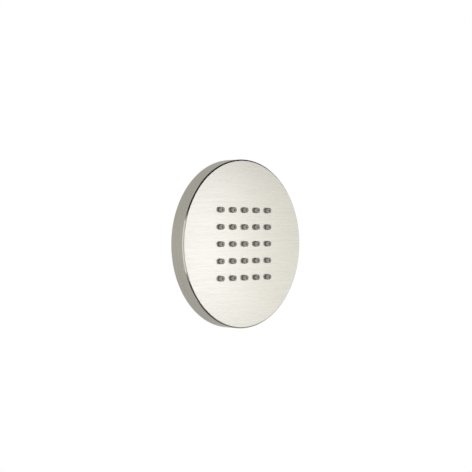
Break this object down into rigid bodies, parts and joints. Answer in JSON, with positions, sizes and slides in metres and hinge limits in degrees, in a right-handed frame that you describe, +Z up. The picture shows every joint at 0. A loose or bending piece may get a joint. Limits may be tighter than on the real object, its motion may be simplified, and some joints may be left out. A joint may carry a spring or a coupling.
{
  "type": "shower body jet",
  "caption": "Flat round shower body jet: a brushed disc with a square field of soft nozzles, on a swivel ball joint with a threaded inlet for the wall pipe.",
  "frame": {"origin": "centre of the inlet's mouth, at the end of the hexagon", "axes": "+Y out of the inlet's mouth towards the wall, the nozzle face looks along -Y, +Z up"},
  "size_m": [0.1, 0.0427, 0.1],
  "materials": {
    "brushed_nickel": "satin nickel with fine straight brushing",
    "grey_silicone": "matt grey silicone",
    "white_acetal": "plain moulded acetal",
    "black_rubber": "black sealing rubber",
    "satin_nickel": "satin nickel plate on turned brass",
    "bright_nickel": "bright nickel plate on turned brass",
    "stainless": "plain stainless steel",
    "green_plastic": "moulded plastic"
  },
  "bodies": {
    "inlet": {"swivel_ball": "bright_nickel", "filter_washer": "black_rubber", "filter_screen": "stainless", "flow_regulator": "green_plastic", "regulator_ring": "black_rubber"},
    "ring": {"friction_ring": "white_acetal"},
    "seal": {"ball_seal": "black_rubber"},
    "head": {"face_cover": "brushed_nickel", "nozzle_mat": "grey_silicone", "jet_plate": "white_acetal", "chamber_gasket": "black_rubber", "back_plate": "satin_nickel", "back_screws": "stainless", "collar_nut": "satin_nickel"}
  },
  "joints": [
    {"name": "tilt_up_down", "type": "hinge", "parent": "inlet", "child": "ring", "pos_m": [0, -0.02571, 0], "axis": [1, 0, 0], "range_deg": [-12, 12]},
    {"name": "tilt_sideways", "type": "hinge", "parent": "ring", "child": "seal", "pos_m": [0, -0.02571, 0], "axis": [0, 0, 1], "range_deg": [-12, 12]},
    {"name": "spin", "type": "hinge", "parent": "seal", "child": "head", "pos_m": [0, -0.02571, 0], "axis": [0, 1, 0], "continuous": true}
  ]
}
